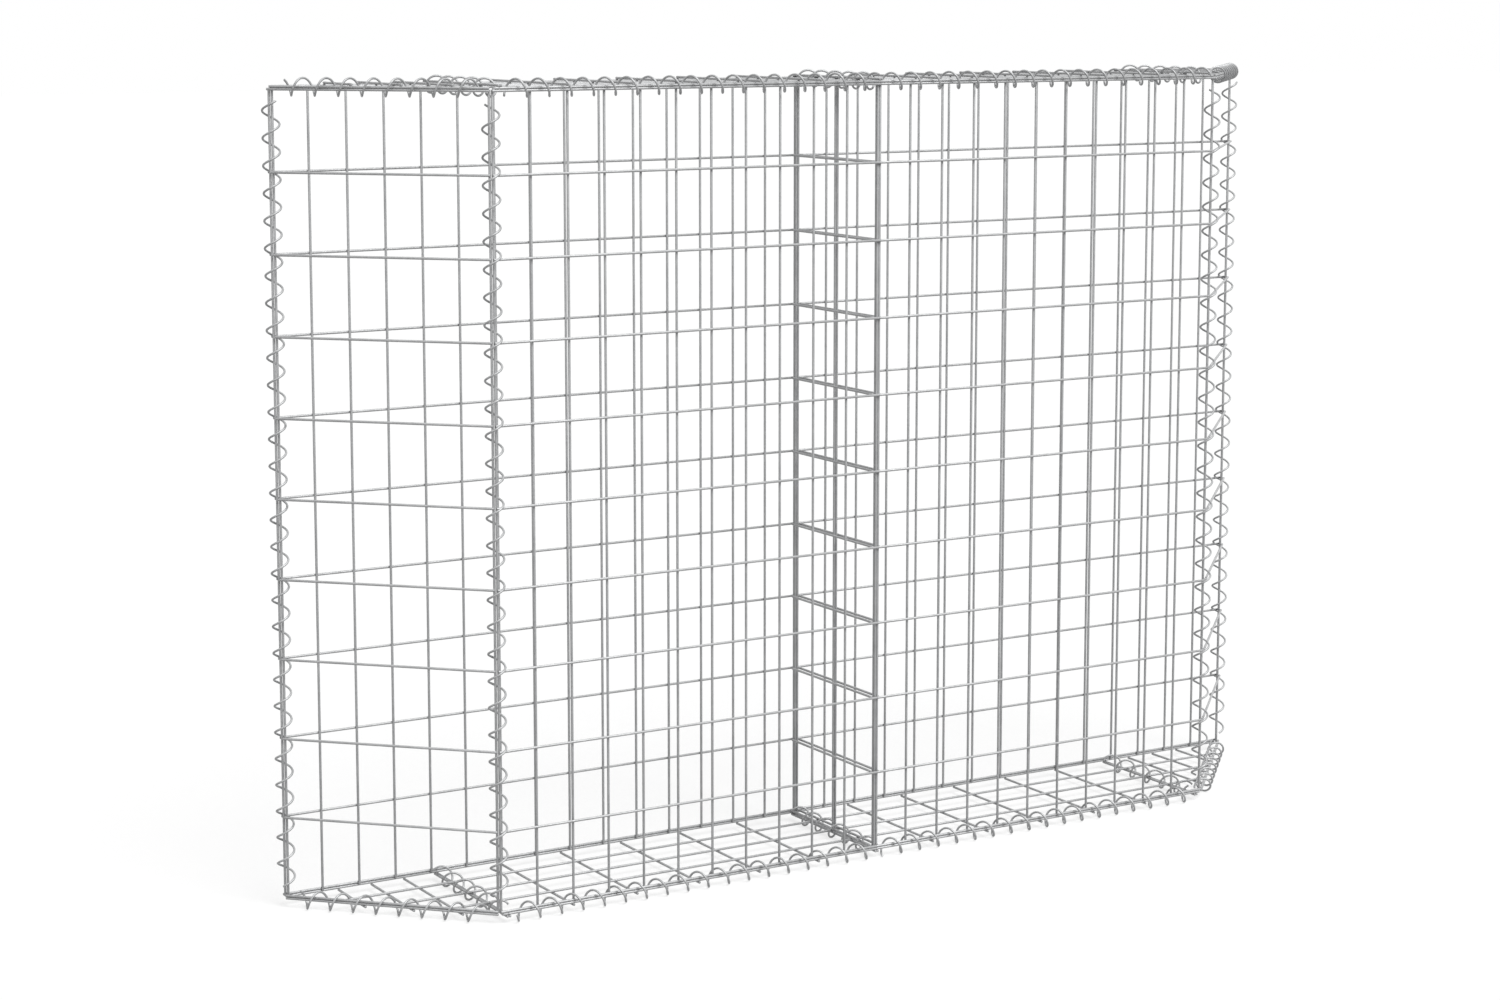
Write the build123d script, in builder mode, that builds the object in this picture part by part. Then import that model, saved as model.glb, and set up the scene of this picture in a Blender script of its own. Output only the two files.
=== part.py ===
from build123d import *
from math import atan, ceil, cos, floor, hypot, pi, radians, sin
import os

os.makedirs("parts", exist_ok=True)

# A gabion raised bed: a tall basket of galvanised welded mesh, empty.
# Seen from above it is a trapezoid, with a long back, a shorter front and slanted ends.
# Each of its two halves has its own back, front, end, divider, floor and lid panels.
# Wire spirals, screwed in along the edges, lace the panels together.

# The basket in millimetres, its widths over the outer faces of the edge wires
back_width = 1500
front_width = 1100
depth = 200
height = 1000

# Welded mesh
wire = 3.2
mesh = 50
rows = 10
floor_rows = 4
cross_spacing = 90

# Spirals, with their turns for each mesh that they are threaded through.
# Those of the slanted ends have theirs for the whole edge.
coil_wire = 2.8
coil_radius = 10.5
coil_sides = 6
corner_turns = 3
front_turns = 3
cross_turns = 1.5
end_turns = 9.4

# Where the turns pass between the crossing wires, in turns, and how their corners are turned
back_corner_phase = 0.75
front_corner_phase = 0.33
front_phase = {-1: 0.05, 1: 0.29}
end_phase = {-1: 0.62, 1: 0.12}
cross_phase = 0.38
corner_twist = 15
end_twist = 40

# Clearances
weld_hair = 0.05
side_gap = 0.1
coil_gap = 2.5

# Sizes that follow from those above
row = height / rows
floor_row = depth / floor_rows
weld_step = wire + weld_hair
pair = wire + side_gap
inner = pair / 2
back_end = back_width / 2 - wire / 2
front_end = front_width / 2 - wire / 2
floor_end = cross_spacing * floor(front_end / cross_spacing)
end_run = back_end - front_end
end_length = hypot(end_run, depth)
corner_pair = wire / 2 * (1 + (end_run + depth) / end_length) + side_gap
corner_pitch = row / corner_turns
front_pitch = cross_spacing / front_turns
cross_pitch = floor_row / cross_turns
end_pitch = end_length / end_turns

# How deep the wire of a spiral is at the corners of its turns, and how far they reach
coil_deep = coil_wire / 2 / cos(pi / coil_sides)
coil_reach = coil_radius + coil_deep

# The turns of the lowest spirals touch the ground
floor_level = coil_reach
low = floor_level + wire
high = low + height
lid_level = high + wire

# The depth is centred on the whole basket, with its spirals
front_reach = weld_step + coil_reach
back_reach = coil_reach * cos(radians(corner_twist)) - corner_pair / 2 * depth / end_length
y_back = (depth + front_reach - back_reach) / 2
y_front = y_back - depth

# The two halves, and the floor and the lid
sides = {"right": 1, "left": -1}
levels = {"bottom": (floor_level, -1), "top": (lid_level, 1)}


def save(piece, name):
    """Label a finished piece and write its file"""
    piece.part.label = name
    export_step(piece.part, f"parts/{name}.step")


def bars(start, places, length):
    """Straight wires of one length that leave a plane side by side.

    Round wire is drawn as a square bar of the same width, to keep the mesh light.
    """
    with BuildSketch(start) as ends:
        with Locations(*places):
            Rectangle(wire, wire)
    extrude(ends.sketch, amount=length)


def slant_point(along, out, z):
    """A point beside the right end: along it from its back corner, and out from it"""
    x = back_end - end_run * along / end_length + depth * out / end_length
    y = y_back - depth * along / end_length - end_run * out / end_length
    return x, y, z


def uprights(end):
    """Places of the upright wires of the right half of a wall, its two edge wires included"""
    spaced = [mesh * k - wire / 2 for k in range(1, round((end - inner) / mesh))]
    return [inner] + spaced + [end]


def wall(end, y, out):
    """The right half of the back or the front: uprights, and level wires on their outer side"""
    bars(Plane.XY.offset(low - wire / 2), [(x, y) for x in uprights(end)], height + wire)
    start = (inner - wire / 2, y + out * weld_step, low)
    across = Plane(origin=start, x_dir=(0, 1, 0), z_dir=(1, 0, 0))
    bars(across, [(0, row * k) for k in range(rows + 1)], end - inner + wire)


def rails(start, end, level):
    """The long wires of a floor or lid panel, which lie against the walls"""
    between = [y_back - floor_row * k for k in range(1, floor_rows)]
    places = [y_back + weld_step] + between + [y_front - weld_step]
    across = Plane(origin=(start - wire / 2, 0, level), x_dir=(0, 1, 0), z_dir=(1, 0, 0))
    bars(across, [(y, 0) for y in places], end - start + wire)


def crosses(places, front, level):
    """Cross wires of a floor or lid panel, from the back to a place at the front"""
    back = y_back + weld_step + wire / 2
    start = Plane(origin=(0, back, level), x_dir=(1, 0, 0), z_dir=(0, -1, 0))
    bars(start, [(x, 0) for x in places], back - front)


def coil(axis, first, last, pitch, phase, twist, hand=1):
    """A wire spiral round the z axis of a plane, between two places along it.

    Each turn has six straight sides, and its wire has three, to keep the turns light.
    The corner at the twist angle lies as many turns along the axis as the phase says.
    It is right-handed, or left-handed where hand is -1.
    """
    half_high = coil_wire / 2 / cos(atan(pitch / (2 * pi * coil_radius)))
    first_corner = ceil((first / pitch - phase) * coil_sides)
    last_corner = floor((last / pitch - phase) * coil_sides)
    sections = []
    for k in range(first_corner, last_corner + 1):
        angle = hand * radians(twist + 360 / coil_sides * k)
        out = axis.x_dir * cos(angle) + axis.y_dir * sin(angle)
        centre = axis.origin + out * coil_radius + axis.z_dir * pitch * (phase + k / coil_sides)
        place = Plane(origin=centre, x_dir=out, z_dir=axis.z_dir.cross(out) * hand)
        with BuildSketch(place) as section:
            Polygon((coil_deep, -half_high), (coil_deep, half_high), (-coil_deep, 0), align=None)
        sections.append(section.sketch)
    loft(sections, ruled=True)


# Walls: the level wires lie outside the uprights

for side in sides:
    with BuildPart() as back_panel:
        wall(back_end, y_back, 1)
        if side == "left":
            mirror(about=Plane.YZ, mode=Mode.REPLACE)
    save(back_panel, f"{side}_back_panel")

for side in sides:
    with BuildPart() as front_panel:
        wall(front_end, y_front, -1)
        if side == "left":
            mirror(about=Plane.YZ, mode=Mode.REPLACE)
    save(front_panel, f"{side}_front_panel")

# The slanted ends have no uprights but their edge wires

along_end = Vector(-end_run, -depth, 0)
out_of_end = Vector(depth, -end_run, 0)

for side in sides:
    with BuildPart() as end_panel:
        foot = Plane(origin=slant_point(0, 0, low - wire / 2), x_dir=along_end, z_dir=(0, 0, 1))
        bars(foot, [(corner_pair, 0), (end_length - corner_pair, 0)], height + wire)
        start = slant_point(corner_pair - wire / 2, weld_step, low)
        across = Plane(origin=start, x_dir=out_of_end, z_dir=along_end)
        bars(across, [(0, row * k) for k in range(rows + 1)], end_length - 2 * corner_pair + wire)
        if side == "left":
            mirror(about=Plane.YZ, mode=Mode.REPLACE)
    save(end_panel, f"{side}_end_panel")

# The dividers stand back to back in the middle, their level wires away from each other

for side in sides:
    with BuildPart() as divider_panel:
        posts = [(inner, y) for y in (y_back - pair, y_back - depth / 2, y_front + pair)]
        bars(Plane.XY.offset(low - wire / 2), posts, height + wire)
        start = (inner + weld_step, y_back - pair + wire / 2, low)
        across = Plane(origin=start, x_dir=(1, 0, 0), z_dir=(0, -1, 0))
        bars(across, [(0, row * k) for k in range(rows + 1)], depth - 2 * pair + wire)
        if side == "left":
            mirror(about=Plane.YZ, mode=Mode.REPLACE)
    save(divider_panel, f"{side}_divider_panel")

# Floor and lid: a straight panel up to the spiral by the front corner

for side in sides:
    for layer, (level, up) in levels.items():
        with BuildPart() as flat_panel:
            rails(inner, floor_end - inner, level)
            places = [inner] + [cross_spacing * k for k in range(1, round(floor_end / cross_spacing))]
            places += [floor_end - inner]
            crosses(places, y_front - weld_step - wire / 2, level + up * weld_step)
            if side == "left":
                mirror(about=Plane.YZ, mode=Mode.REPLACE)
        save(flat_panel, f"{side}_{layer}_panel")

# Beyond it a three-cornered panel, whose slanted wire lies under that of the end

for side in sides:
    for layer, (level, up) in levels.items():
        with BuildPart() as corner_panel:
            rails(floor_end + inner, back_end, level)
            cut = slant_point(0, weld_step - wire / 2 - weld_hair, level)
            split(bisect_by=Plane(origin=cut, z_dir=out_of_end), keep=Keep.BOTTOM)
            start = slant_point(corner_pair - wire / 2, weld_step, level)
            slanted = Plane(origin=start, x_dir=(0, 0, 1), z_dir=along_end)
            bars(slanted, [(0, 0)], end_length - 2 * corner_pair + wire)
            places = [floor_end + inner]
            more = range(1, ceil((back_end - floor_end) / (cross_spacing / 2) - 1))
            places += [floor_end + cross_spacing / 2 * k for k in more]
            for x in places:
                slant_y = y_back - (back_end - x) * depth / end_run
                front = slant_y - weld_step * end_length / end_run - wire / 2
                front = max(front, y_front - weld_step - wire / 2)
                crosses([x], front, level + up * weld_step)
            if side == "left":
                mirror(about=Plane.YZ, mode=Mode.REPLACE)
        save(corner_panel, f"{side}_{layer}_corner")

# Spirals up the four corners, between those of the floor and of the lid

for side, turn in sides.items():
    start = low if side == "right" else high
    for corner in ("back", "front"):
        with BuildPart() as corner_spiral:
            along = corner_pair / 2 if corner == "back" else end_length - corner_pair / 2
            x, y, z = slant_point(along, 0, start)
            axis = Plane(origin=(turn * x, y, z), x_dir=(turn, 0, 0), z_dir=(0, 0, turn))
            margin = coil_reach - wire + coil_gap
            phase = back_corner_phase if corner == "back" else front_corner_phase
            coil(axis, margin, height - margin, corner_pitch, phase, corner_twist)
        save(corner_spiral, f"{side}_{corner}_corner_spiral")

# Spirals along the front edges of the floor and the lid, one for each half

for side, turn in sides.items():
    for layer, (level, up) in levels.items():
        with BuildPart() as front_spiral:
            start = (0, y_front - weld_step, level)
            axis = Plane(origin=start, x_dir=(0, 0, -up), z_dir=(turn, 0, 0))
            margin = inner + wire / 2 + coil_gap
            coil(axis, margin, floor_end - margin, front_pitch, front_phase[turn * up], 90)
        save(front_spiral, f"{side}_{layer}_front_spiral")

# Spirals along the slanted edges, those of the left end left-handed

for side, turn in sides.items():
    for layer, (level, up) in levels.items():
        with BuildPart() as end_spiral:
            x, y, z = slant_point(0, weld_step, level)
            along = (-turn * end_run, -depth, 0)
            axis = Plane(origin=(turn * x, y, z), x_dir=(0, 0, -up), z_dir=along)
            margin = corner_pair / 2 + coil_reach + coil_gap
            coil(axis, margin, end_length - margin, end_pitch, end_phase[up], end_twist, turn)
        save(end_spiral, f"{side}_{layer}_end_spiral")

# Left-handed spirals across the floor and the lid, where their panels meet

for place, x in {"left": -floor_end, "middle": 0, "right": floor_end}.items():
    for layer, (level, up) in levels.items():
        with BuildPart() as cross_spiral:
            axis = Plane(origin=(x, y_back, level), x_dir=(0, 0, -up), z_dir=(0, -1, 0))
            first = wire / 2 + coil_gap
            last = depth + weld_step - coil_reach - coil_gap
            coil(axis, first, last, cross_pitch, cross_phase, 0, -1)
        save(cross_spiral, f"{place}_{layer}_cross_spiral")
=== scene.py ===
from math import atan, ceil, cos, floor, pi, radians, tau

import bpy
from mathutils import Matrix, Vector


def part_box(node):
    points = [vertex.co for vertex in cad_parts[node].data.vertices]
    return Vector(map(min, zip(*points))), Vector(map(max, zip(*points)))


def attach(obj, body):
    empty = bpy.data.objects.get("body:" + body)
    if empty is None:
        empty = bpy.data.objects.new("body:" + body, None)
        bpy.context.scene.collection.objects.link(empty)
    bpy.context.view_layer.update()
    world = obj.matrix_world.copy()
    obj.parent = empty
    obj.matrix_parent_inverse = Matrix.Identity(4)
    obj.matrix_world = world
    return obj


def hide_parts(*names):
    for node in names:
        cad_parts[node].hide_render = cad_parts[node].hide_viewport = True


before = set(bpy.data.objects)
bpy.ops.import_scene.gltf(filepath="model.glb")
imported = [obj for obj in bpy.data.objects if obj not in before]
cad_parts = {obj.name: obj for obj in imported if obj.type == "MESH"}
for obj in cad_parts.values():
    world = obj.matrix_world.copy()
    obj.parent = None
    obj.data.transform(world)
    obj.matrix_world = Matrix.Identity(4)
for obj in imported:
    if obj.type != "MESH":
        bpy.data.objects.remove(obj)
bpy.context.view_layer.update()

# The back and the front of the basket, each in two halves.
# Welded mesh of round galvanised wire, 3.2 mm thick: uprights every 50 mm, and level wires
# every 100 mm welded to their outer side, flush with the edge wires.
wire = 0.0032
mesh = 0.05
row = 0.1
wire_facets = 12
cut_rounding = wire * 0.12
bead_radius = wire * 0.4
bead_flattening = 0.5
smooth_angle = radians(50)


def deselect():
    """Nothing selected, so that the next operator acts on its own piece alone"""
    if bpy.context.object and bpy.context.object.mode != "OBJECT":
        bpy.ops.object.mode_set(mode="OBJECT")
    bpy.ops.object.select_all(action="DESELECT")


def zinc(name, dull, bright, metal):
    """Galvanised steel: zinc in dull and bright cloudy patches of crystals, with a fine grain"""
    clouds_per_metre = 38
    crystals_per_metre = 420
    crystal_share = 0.25
    dull_below = 0.3
    bright_above = 0.7
    dull_roughness = 0.52
    bright_roughness = 0.42
    grains_per_metre = 1600
    grain_depth = 0.00012
    grain_strength = 0.2

    material = bpy.data.materials.new(name)
    material.use_nodes = True
    nodes = material.node_tree.nodes
    link = material.node_tree.links.new
    shader = nodes["Principled BSDF"]
    shader.inputs["Metallic"].default_value = metal
    place = nodes.new("ShaderNodeTexCoord")

    clouds = nodes.new("ShaderNodeTexNoise")
    clouds.inputs["Scale"].default_value = clouds_per_metre
    clouds.inputs["Detail"].default_value = 3
    link(place.outputs["Object"], clouds.inputs["Vector"])

    crystals = nodes.new("ShaderNodeTexVoronoi")
    crystals.inputs["Scale"].default_value = crystals_per_metre
    link(place.outputs["Object"], crystals.inputs["Vector"])
    crystal_tone = nodes.new("ShaderNodeRGBToBW")
    link(crystals.outputs["Color"], crystal_tone.inputs["Color"])

    patches = nodes.new("ShaderNodeMix")
    patches.inputs["Factor"].default_value = crystal_share
    link(clouds.outputs["Fac"], patches.inputs["A"])
    link(crystal_tone.outputs["Val"], patches.inputs["B"])
    tone = nodes.new("ShaderNodeValToRGB")
    tone.color_ramp.elements[0].position = dull_below
    tone.color_ramp.elements[0].color = (*dull, 1)
    tone.color_ramp.elements[1].position = bright_above
    tone.color_ramp.elements[1].color = (*bright, 1)
    link(patches.outputs["Result"], tone.inputs["Fac"])
    link(tone.outputs["Color"], shader.inputs["Base Color"])

    polish = nodes.new("ShaderNodeMapRange")
    polish.inputs["To Min"].default_value = dull_roughness
    polish.inputs["To Max"].default_value = bright_roughness
    link(patches.outputs["Result"], polish.inputs["Value"])
    link(polish.outputs["Result"], shader.inputs["Roughness"])

    grain = nodes.new("ShaderNodeTexNoise")
    grain.inputs["Scale"].default_value = grains_per_metre
    grain.inputs["Detail"].default_value = 4
    link(place.outputs["Object"], grain.inputs["Vector"])
    surface = nodes.new("ShaderNodeBump")
    surface.inputs["Strength"].default_value = grain_strength
    surface.inputs["Distance"].default_value = grain_depth
    link(grain.outputs["Fac"], surface.inputs["Height"])
    link(surface.outputs["Normal"], shader.inputs["Normal"])
    return material


mesh_zinc = zinc("mesh_zinc", dull=(0.39, 0.395, 0.40), bright=(0.50, 0.505, 0.51), metal=0.3)
weld_zinc = zinc("weld_zinc", dull=(0.30, 0.30, 0.305), bright=(0.42, 0.42, 0.425), metal=0.2)


def cut_wire(length):
    """A straight length of round wire up from the origin, its cut ends a little rounded"""
    deselect()
    bpy.ops.mesh.primitive_cylinder_add(
        vertices=wire_facets, radius=wire / 2, depth=length, location=(0, 0, length / 2)
    )
    piece = bpy.context.object
    bpy.ops.object.transform_apply(location=True, rotation=True, scale=True)
    bpy.ops.object.mode_set(mode="EDIT")
    bpy.ops.mesh.select_mode(type="FACE")
    bpy.ops.mesh.select_all(action="DESELECT")
    bpy.ops.object.mode_set(mode="OBJECT")
    for face in piece.data.polygons:
        face.select = round(abs(face.normal.z)) == 1
    bpy.ops.object.mode_set(mode="EDIT")
    bpy.ops.mesh.bevel(offset=cut_rounding, segments=2)
    bpy.ops.object.mode_set(mode="OBJECT")
    piece.data.materials.append(mesh_zinc)
    return piece


def weld_bead():
    """The bead between two wires that are welded where they cross, flattened along Z"""
    deselect()
    bpy.ops.mesh.primitive_uv_sphere_add(segments=8, ring_count=5, radius=bead_radius)
    piece = bpy.context.object
    bpy.ops.transform.resize(value=(1, 1, bead_flattening))
    bpy.ops.object.transform_apply(location=True, rotation=True, scale=True)
    piece.data.materials.append(weld_zinc)
    return piece


def copies(pattern, places, along):
    """Copies of a pattern, each with its own mesh, standing along a direction at each place"""
    turn = Vector(along).to_track_quat("Z", "Y").to_matrix().to_4x4()
    made = []
    for place in places:
        piece = pattern.copy()
        piece.data = pattern.data.copy()
        piece.matrix_world = Matrix.Translation(place) @ turn
        bpy.context.scene.collection.objects.link(piece)
        made.append(piece)
    bpy.data.objects.remove(pattern)
    return made


def joined(parts, name):
    """Loose parts made into one piece, its place in its mesh"""
    deselect()
    for part in parts:
        part.select_set(True)
    bpy.context.view_layer.objects.active = parts[0]
    if len(parts) > 1:
        bpy.ops.object.join()
    piece = bpy.context.object
    bpy.ops.object.transform_apply(location=True, rotation=True, scale=True)
    bpy.ops.object.shade_smooth_by_angle(angle=smooth_angle)
    piece.name = name
    piece.data.name = name
    return piece


def stands_for(piece, node):
    """The piece takes its node's place in the basket"""
    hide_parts(node)
    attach(piece, "root")


def levels_of(low, high):
    """Heights of the level wires of a wall panel"""
    rows = round((high.z - low.z - wire) / row)
    return [low.z + wire / 2 + row * k for k in range(rows + 1)]


def wall(node, side, outward):
    """A half of the back or the front, on its own side of the basket, facing outward along Y"""
    low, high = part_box(node)
    edge = high.x - wire / 2 if side > 0 else low.x + wire / 2
    inner = low.x + wire / 2 if side > 0 else high.x - wire / 2
    spaced = [edge - side * mesh * k for k in range(round(abs(edge - inner) / mesh))]
    uprights = spaced + [inner]
    upright_y = low.y + wire / 2 if outward > 0 else high.y - wire / 2
    level_y = high.y - wire / 2 if outward > 0 else low.y + wire / 2
    levels = levels_of(low, high)
    parts = copies(cut_wire(high.z - low.z), [(x, upright_y, low.z) for x in uprights], (0, 0, 1))
    parts += copies(cut_wire(high.x - low.x), [(low.x, level_y, z) for z in levels], (1, 0, 0))
    weld_y = (upright_y + level_y) / 2
    welds = [(x, weld_y, z) for x in uprights for z in levels]
    parts += copies(weld_bead(), welds, (0, 1, 0))
    stands_for(joined(parts, node + "_wires"), node)


sides = {"right": 1, "left": -1}
for side, sign in sides.items():
    wall(f"{side}_back_panel", sign, 1)
    wall(f"{side}_front_panel", sign, -1)

# The slanted ends, one panel each.
# The same mesh without uprights between its two edge wires, so the level wires run free from
# corner to corner, each welded only at its two ends.
back_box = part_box("right_back_panel")
front_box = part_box("right_front_panel")
weld_step = back_box[1].y - back_box[0].y - wire
back_corner = Vector((back_box[1].x - wire / 2, back_box[0].y + wire / 2, 0))
front_corner = Vector((front_box[1].x - wire / 2, front_box[1].y - wire / 2, 0))
end_length = (front_corner - back_corner).length


def beside_end(sign, along, out, z):
    """A point beside an end: along it from its back corner, and out from it, at a height"""
    run = (front_corner - back_corner).normalized()
    away = Vector((-run.y, run.x, 0))
    point = back_corner + run * along + away * out
    return Vector((sign * point.x, point.y, z))


def end_direction(sign):
    """The way from the back corner of an end to its front corner"""
    return (beside_end(sign, 1, 0, 0) - beside_end(sign, 0, 0, 0)).normalized()


def end_outward(sign):
    """The way out of an end"""
    return (beside_end(sign, 0, 1, 0) - beside_end(sign, 0, 0, 0)).normalized()


end_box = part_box("right_end_panel")
reach_out = beside_end(1, 0, weld_step + wire / 2, 0).x
pair_at_end = (reach_out - end_box[1].x) / abs(end_direction(1).x) + wire / 2
end_span = end_length - 2 * pair_at_end + wire

for side, sign in sides.items():
    node = f"{side}_end_panel"
    low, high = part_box(node)
    edges = (pair_at_end, end_length - pair_at_end)
    levels = levels_of(low, high)
    posts = [beside_end(sign, along, 0, low.z) for along in edges]
    starts = [beside_end(sign, pair_at_end - wire / 2, weld_step, z) for z in levels]
    parts = copies(cut_wire(high.z - low.z), posts, (0, 0, 1))
    parts += copies(cut_wire(end_span), starts, end_direction(sign))
    welds = [beside_end(sign, along, weld_step / 2, z) for along in edges for z in levels]
    parts += copies(weld_bead(), welds, end_outward(sign))
    stands_for(joined(parts, node + "_wires"), node)

# The two dividers, back to back across the middle of the basket.
# Each has three uprights, with its level wires welded to the side away from the other one.
for side, sign in sides.items():
    node = f"{side}_divider_panel"
    low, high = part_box(node)
    post_x = low.x + wire / 2 if sign > 0 else high.x - wire / 2
    level_x = high.x - wire / 2 if sign > 0 else low.x + wire / 2
    post_ys = [low.y + wire / 2, (low.y + high.y) / 2, high.y - wire / 2]
    levels = levels_of(low, high)
    parts = copies(cut_wire(high.z - low.z), [(post_x, y, low.z) for y in post_ys], (0, 0, 1))
    parts += copies(cut_wire(high.y - low.y), [(level_x, low.y, z) for z in levels], (0, 1, 0))
    welds = [((post_x + level_x) / 2, y, z) for y in post_ys for z in levels]
    parts += copies(weld_bead(), welds, (1, 0, 0))
    stands_for(joined(parts, node + "_wires"), node)

# The floor and the lid, a straight panel for each half.
# Long wires every 50 mm lie against the walls, and cross wires every 90 mm are welded to their
# other side: below them in the floor, and above them in the lid.
floor_row = 0.05
floor_rows = 4
cross_spacing = 0.09
layers = {"bottom": -1, "top": 1}


def flat_heights(low, high, up):
    """Heights of the long wires and of the cross wires of a floor or lid panel"""
    if up > 0:
        return low.z + wire / 2, high.z - wire / 2
    return high.z - wire / 2, low.z + wire / 2


def rail_places(low, high):
    """Where the long wires lie, from the back: the edge ones outside the walls' uprights"""
    back = high.y - wire / 2
    inside = [back - weld_step - floor_row * k for k in range(1, floor_rows)]
    return [back] + inside + [low.y + wire / 2]


for side, sign in sides.items():
    for layer, up in layers.items():
        node = f"{side}_{layer}_panel"
        low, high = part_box(node)
        rail_z, cross_z = flat_heights(low, high, up)
        rails = rail_places(low, high)
        cells = round(max(abs(low.x), abs(high.x)) / cross_spacing)
        crosses = [low.x + wire / 2] + [sign * cross_spacing * k for k in range(1, cells)]
        crosses += [high.x - wire / 2]
        parts = copies(cut_wire(high.x - low.x), [(low.x, y, rail_z) for y in rails], (1, 0, 0))
        parts += copies(cut_wire(high.y - low.y), [(x, low.y, cross_z) for x in crosses], (0, 1, 0))
        welds = [(x, y, (rail_z + cross_z) / 2) for x in crosses for y in rails]
        parts += copies(weld_bead(), welds, (0, 0, 1))
        stands_for(joined(parts, node + "_wires"), node)

# The three-cornered panels that finish the floor and the lid beyond the front corners.
# Their long wires are cut off at the slant and welded to a slanted edge wire, which lies along
# the end panel's lowest or highest wire. Their cross wires are twice as close.
corner_mesh = cross_spacing / 2
side_gap = 0.0001
floor_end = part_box("right_bottom_panel")[1].x + side_gap / 2

for side, sign in sides.items():
    for layer, up in layers.items():
        node = f"{side}_{layer}_corner"
        low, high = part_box(node)
        rail_z, cross_z = flat_heights(low, high, up)
        inner_x = min(abs(low.x), abs(high.x)) + wire / 2
        main_low, main_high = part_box(f"{side}_{layer}_panel")
        rails = rail_places(main_low, main_high)
        starts = [(sign * (inner_x - wire / 2), y, rail_z) for y in rails]
        across = cut_wire(back_corner.x - inner_x)
        long_wires = joined(copies(across, starts, (sign, 0, 0)), "long_wires")
        cut = beside_end(sign, 0, weld_step - wire / 2, rail_z)
        bpy.ops.object.mode_set(mode="EDIT")
        bpy.ops.mesh.select_all(action="SELECT")
        bpy.ops.mesh.bisect(
            plane_co=cut, plane_no=end_outward(sign), use_fill=True, clear_outer=True
        )
        bpy.ops.object.mode_set(mode="OBJECT")
        slant_start = beside_end(sign, pair_at_end - wire / 2, weld_step, rail_z)
        slant_wire = copies(cut_wire(end_span), [slant_start], end_direction(sign))
        parts = [long_wires] + slant_wire
        cells = round((back_corner.x - inner_x) / corner_mesh) - 1
        crosses = [inner_x] + [floor_end + corner_mesh * k for k in range(1, cells)]
        run = end_direction(1)
        welds = []
        for x in crosses:
            slant_y = back_corner.y + (back_corner.x - x) * run.y / abs(run.x)
            front = max(slant_y - weld_step / abs(run.x) - wire / 2, main_low.y)
            parts += copies(cut_wire(high.y - front), [(sign * x, front, cross_z)], (0, 1, 0))
            welds += [(sign * x, y, (rail_z + cross_z) / 2) for y in rails if y > slant_y]
        parts += copies(weld_bead(), welds, (0, 0, 1))
        stands_for(joined(parts, node + "_wires"), node)

# The spirals up the four corners.
# Each is one length of 2.8 mm galvanised wire wound right-handed to about 24 mm across, and
# screwed round the edge wires of two walls, three turns for every row.
coil_wire = 0.0028
coil_sides = 6
solid_radius = 0.0105
solid_reach = solid_radius + coil_wire / 2 / cos(pi / coil_sides)
coil_gap = 0.0025
coil_facets = 8
steps_per_turn = 28
coil_zinc = zinc("coil_zinc", dull=(0.36, 0.365, 0.37), bright=(0.52, 0.525, 0.53), metal=0.3)


def spiral(node, origin, zero, along, first, last, pitch, phase, twist, radius, hand=1):
    """A round wire spiral along an axis, turn for turn where its solid is.

    It lies between first and last, and starts and ends at a corner of its six-sided solid.
    The phase is where a turn passes the twist angle from the zero direction, in turns.
    It is right-handed, or left-handed where hand is -1.
    """
    start = pitch * (phase + ceil((first / pitch - phase) * coil_sides) / coil_sides)
    end = pitch * (phase + floor((last / pitch - phase) * coil_sides) / coil_sides)
    turns = (end - start) / pitch
    lean = atan(pitch / (tau * radius))
    deselect()
    bpy.ops.mesh.primitive_circle_add(
        vertices=coil_facets, radius=coil_wire / 2, location=(radius, 0, 0),
        rotation=(hand * (lean - pi / 2), 0, 0),
    )
    piece = bpy.context.object
    bpy.ops.object.transform_apply(location=True, rotation=True, scale=True)
    screw = piece.modifiers.new("turns", "SCREW")
    screw.angle = hand * tau * turns
    screw.screw_offset = end - start
    screw.steps = round(turns * steps_per_turn)
    screw.render_steps = screw.steps
    screw.use_merge_vertices = False
    bpy.ops.object.modifier_apply(modifier=screw.name)
    bpy.ops.object.mode_set(mode="EDIT")
    bpy.ops.mesh.select_all(action="SELECT")
    bpy.ops.mesh.fill_holes(sides=coil_facets)
    bpy.ops.mesh.select_all(action="SELECT")
    bpy.ops.mesh.normals_make_consistent(inside=False)
    bpy.ops.object.mode_set(mode="OBJECT")
    z_axis = Vector(along).normalized()
    x_axis = Vector(zero).normalized()
    axes = Matrix((x_axis, z_axis.cross(x_axis), z_axis)).transposed().to_4x4()
    spin = Matrix.Rotation(hand * (radians(twist) + tau * (start / pitch - phase)), 4, "Z")
    piece.matrix_world = Matrix.Translation(Vector(origin) + z_axis * start) @ axes @ spin
    piece.data.materials.append(coil_zinc)
    stands_for(joined([piece], node + "_wire"), node)


corner_turns = 3
corner_pitch = row / corner_turns
corner_phases = {"back": 0.75, "front": 0.33}
corner_twist = 15
corner_radius = 0.0103
bottom_z = back_box[0].z + wire / 2
top_z = back_box[1].z - wire / 2
corner_margin = solid_reach - wire + coil_gap

for side, sign in sides.items():
    for corner, phase in corner_phases.items():
        node = f"{side}_{corner}_corner_spiral"
        along = pair_at_end / 2 if corner == "back" else end_length - pair_at_end / 2
        foot = beside_end(sign, along, 0, bottom_z if sign > 0 else top_z)
        last = top_z - bottom_z - corner_margin
        spiral(node, foot, (sign, 0, 0), (0, 0, sign), corner_margin, last,
               corner_pitch, phase, corner_twist, corner_radius)

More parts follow.
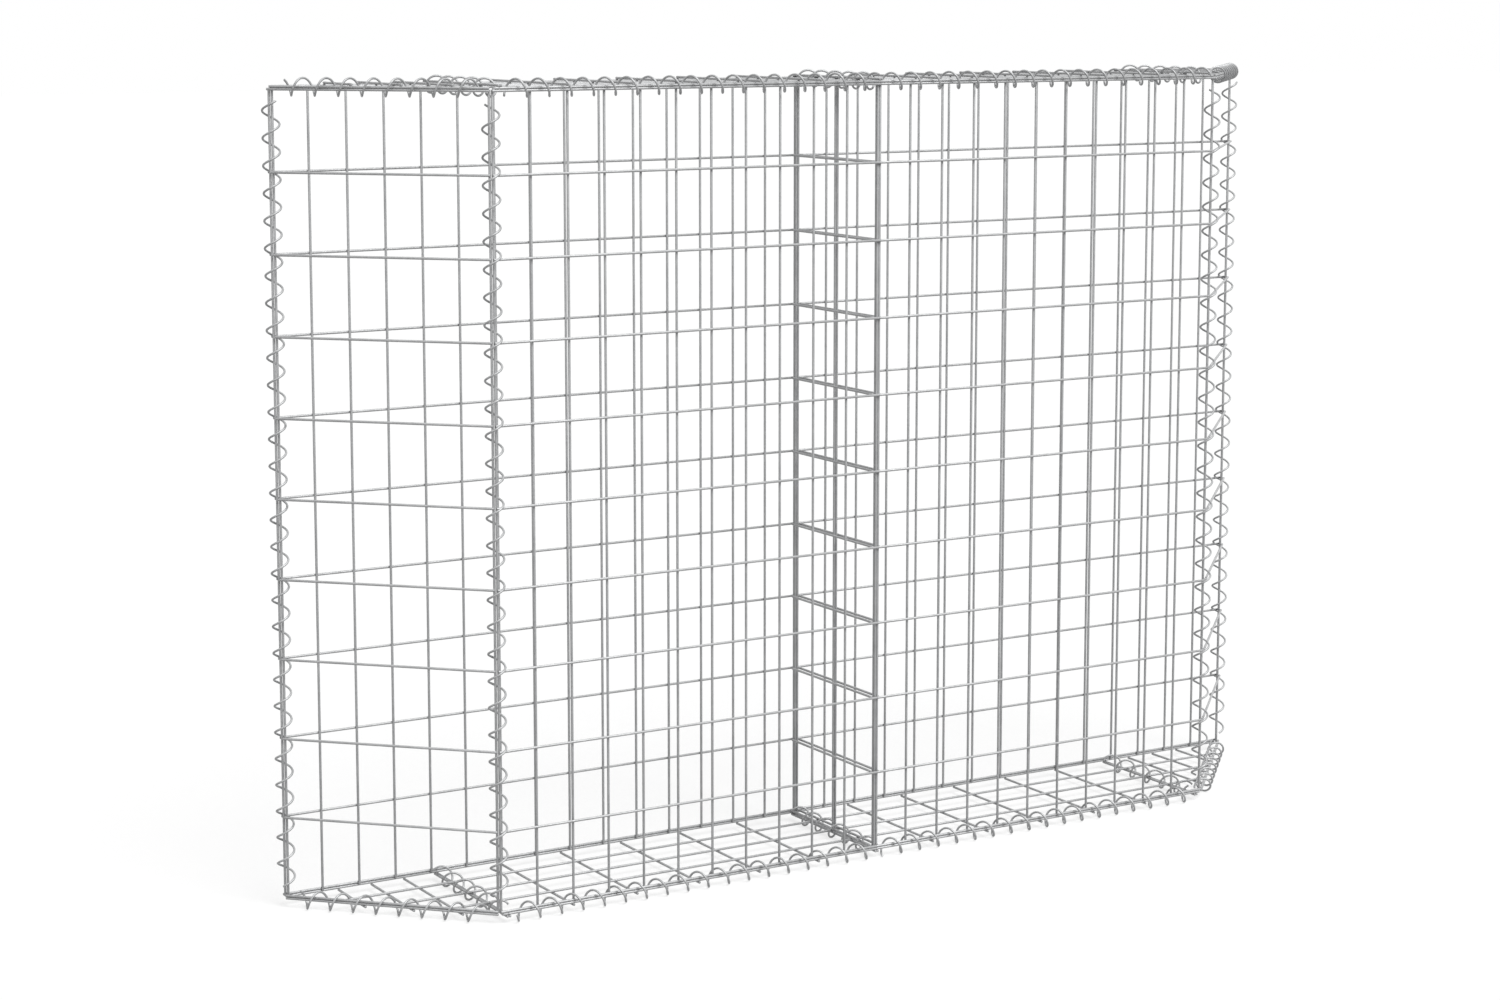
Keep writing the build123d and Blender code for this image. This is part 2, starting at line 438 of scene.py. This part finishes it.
# The spirals along the front edges of the floor and of the lid, one for each half.
# They are right-handed, and lace the front to the floor and the lid with three turns for every
# cell of the floor.
edge_radius = 0.0107
front_turns = 3
front_pitch = cross_spacing / front_turns
front_phases = {-1: 0.05, 1: 0.29}
front_twist = 90
front_margin = front_box[0].x + wire + coil_gap
laced_z = {
    layer: flat_heights(*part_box(f"right_{layer}_panel"), up)[0]
    for layer, up in layers.items()
}

for side, sign in sides.items():
    for layer, up in layers.items():
        start = (0, front_box[0].y + wire / 2, laced_z[layer])
        spiral(f"{side}_{layer}_front_spiral", start, (0, 0, -up), (sign, 0, 0),
               front_margin, floor_end - front_margin,
               front_pitch, front_phases[sign * up], front_twist, edge_radius)

# The spirals along the slanted edges of the floor and of the lid.
# They lace each end panel to the three-cornered panels. Those of the left end turn the other
# way, so that one end mirrors the other.
end_turns = 9.4
end_pitch = end_length / end_turns
end_phases = {-1: 0.62, 1: 0.12}
end_twist = 40
end_margin = pair_at_end / 2 + solid_reach + coil_gap

for side, sign in sides.items():
    for layer, up in layers.items():
        start = beside_end(sign, 0, weld_step, laced_z[layer])
        spiral(f"{side}_{layer}_end_spiral", start, (0, 0, -up), end_direction(sign),
               end_margin, end_length - end_margin,
               end_pitch, end_phases[up], end_twist, edge_radius, sign)

# The spirals across the floor and the lid, from the back to the front.
# They are left-handed. They lace the two halves together in the middle, with the dividers,
# and each half to the three-cornered panel beside it.
cross_turns = 1.5
cross_pitch = floor_row / cross_turns
cross_phase = 0.38
cross_twist = 0
cross_start = wire / 2 + coil_gap
cross_end = back_corner.y - front_box[0].y - wire / 2 - solid_reach - coil_gap

for place, x in {"left": -floor_end, "middle": 0, "right": floor_end}.items():
    for layer, up in layers.items():
        start = (x, back_corner.y, laced_z[layer])
        spiral(f"{place}_{layer}_cross_spiral", start, (0, 0, -up), (0, -1, 0),
               cross_start, cross_end, cross_pitch, cross_phase, cross_twist, edge_radius, -1)

# The ground that the basket stands on: plain, pale and without an edge in sight.
# It is white to the camera and in the zinc, and still takes the basket's soft shadow.
ground_width = 60
ground_colour = 0.25
deselect()
bpy.ops.mesh.primitive_plane_add(size=ground_width, location=(0, 0, 0))
ground = bpy.context.object
ground.name = "ground"
pale = bpy.data.materials.new("pale_ground")
pale.use_nodes = True
nodes = pale.node_tree.nodes
link = pale.node_tree.links.new
matt = nodes["Principled BSDF"]
matt.inputs["Base Color"].default_value = (ground_colour, ground_colour, ground_colour, 1)
matt.inputs["Roughness"].default_value = 0.9
matt.inputs["Specular IOR Level"].default_value = 0


def seen_ray(nodes, link):
    """1 for rays from the camera and for mirrored or refracted ones, else 0"""
    path = nodes.new("ShaderNodeLightPath")
    mirrored = nodes.new("ShaderNodeMath")
    mirrored.operation = "MAXIMUM"
    link(path.outputs["Is Glossy Ray"], mirrored.inputs[0])
    link(path.outputs["Is Transmission Ray"], mirrored.inputs[1])
    seen = nodes.new("ShaderNodeMath")
    seen.operation = "MAXIMUM"
    link(path.outputs["Is Camera Ray"], seen.inputs[0])
    link(mirrored.outputs[0], seen.inputs[1])
    return seen.outputs[0]


glow = nodes.new("ShaderNodeEmission")
glow.inputs["Strength"].default_value = 1 - ground_colour
both = nodes.new("ShaderNodeAddShader")
link(matt.outputs[0], both.inputs[0])
link(glow.outputs[0], both.inputs[1])
choice = nodes.new("ShaderNodeMixShader")
link(seen_ray(nodes, link), choice.inputs["Fac"])
link(matt.outputs[0], choice.inputs[1])
link(both.outputs[0], choice.inputs[2])
link(choice.outputs[0], nodes["Material Output"].inputs["Surface"])
ground.data.materials.append(pale)

# Soft studio light: an even grey sky, white where it is seen, and one broad, distant lamp high
# in front of the basket, so that the ground is lit evenly to its far edge.
sky_light = 0.3
full_light = 1.1
lamp_direction = Vector((0.15, -0.85, 1.2))
lamp_distance = 3
lamp_spread = radians(35)
world = bpy.data.worlds.new("studio")
bpy.context.scene.world = world
world.use_nodes = True
nodes = world.node_tree.nodes
link = world.node_tree.links.new
dim = nodes["Background"]
dim.inputs["Color"].default_value = (sky_light, sky_light, sky_light, 1)
white = nodes.new("ShaderNodeBackground")
white.inputs["Color"].default_value = (1, 1, 1, 1)
sky = nodes.new("ShaderNodeMixShader")
link(seen_ray(nodes, link), sky.inputs["Fac"])
link(dim.outputs[0], sky.inputs[1])
link(white.outputs[0], sky.inputs[2])
link(sky.outputs[0], nodes["World Output"].inputs["Surface"])

light = bpy.data.lights.new("key_light", "SUN")
light.angle = lamp_spread
light.energy = pi * (full_light - sky_light) / lamp_direction.normalized().z
lamp = bpy.data.objects.new("key_light", light)
lamp.location = lamp_direction * lamp_distance
lamp.rotation_euler = lamp_direction.to_track_quat("Z", "Y").to_euler()
bpy.context.scene.collection.objects.link(lamp)
bpy.context.scene.view_settings.view_transform = "Standard"

# The camera, a little above the lid and to the left of the front.
# It looks slightly down, and the picture is also shifted down a little, as far as other views
# of the basket leave room for.
image_width = 1500
focal_length = 2958.4
camera_place = (-2.10124, -3.25647, 1.12608)
camera_turn = 0.5435
camera_tilt = 0.1290
sensor_width = 36
picture_shift = -0.08
lens = bpy.data.cameras.new("camera")
lens.sensor_width = sensor_width
lens.lens = focal_length / image_width * sensor_width
lens.shift_y = picture_shift
camera = bpy.data.objects.new("camera", lens)
camera.location = camera_place
camera.rotation_euler = (pi / 2 - camera_tilt, 0, -camera_turn)
bpy.context.scene.collection.objects.link(camera)
bpy.context.scene.camera = camera
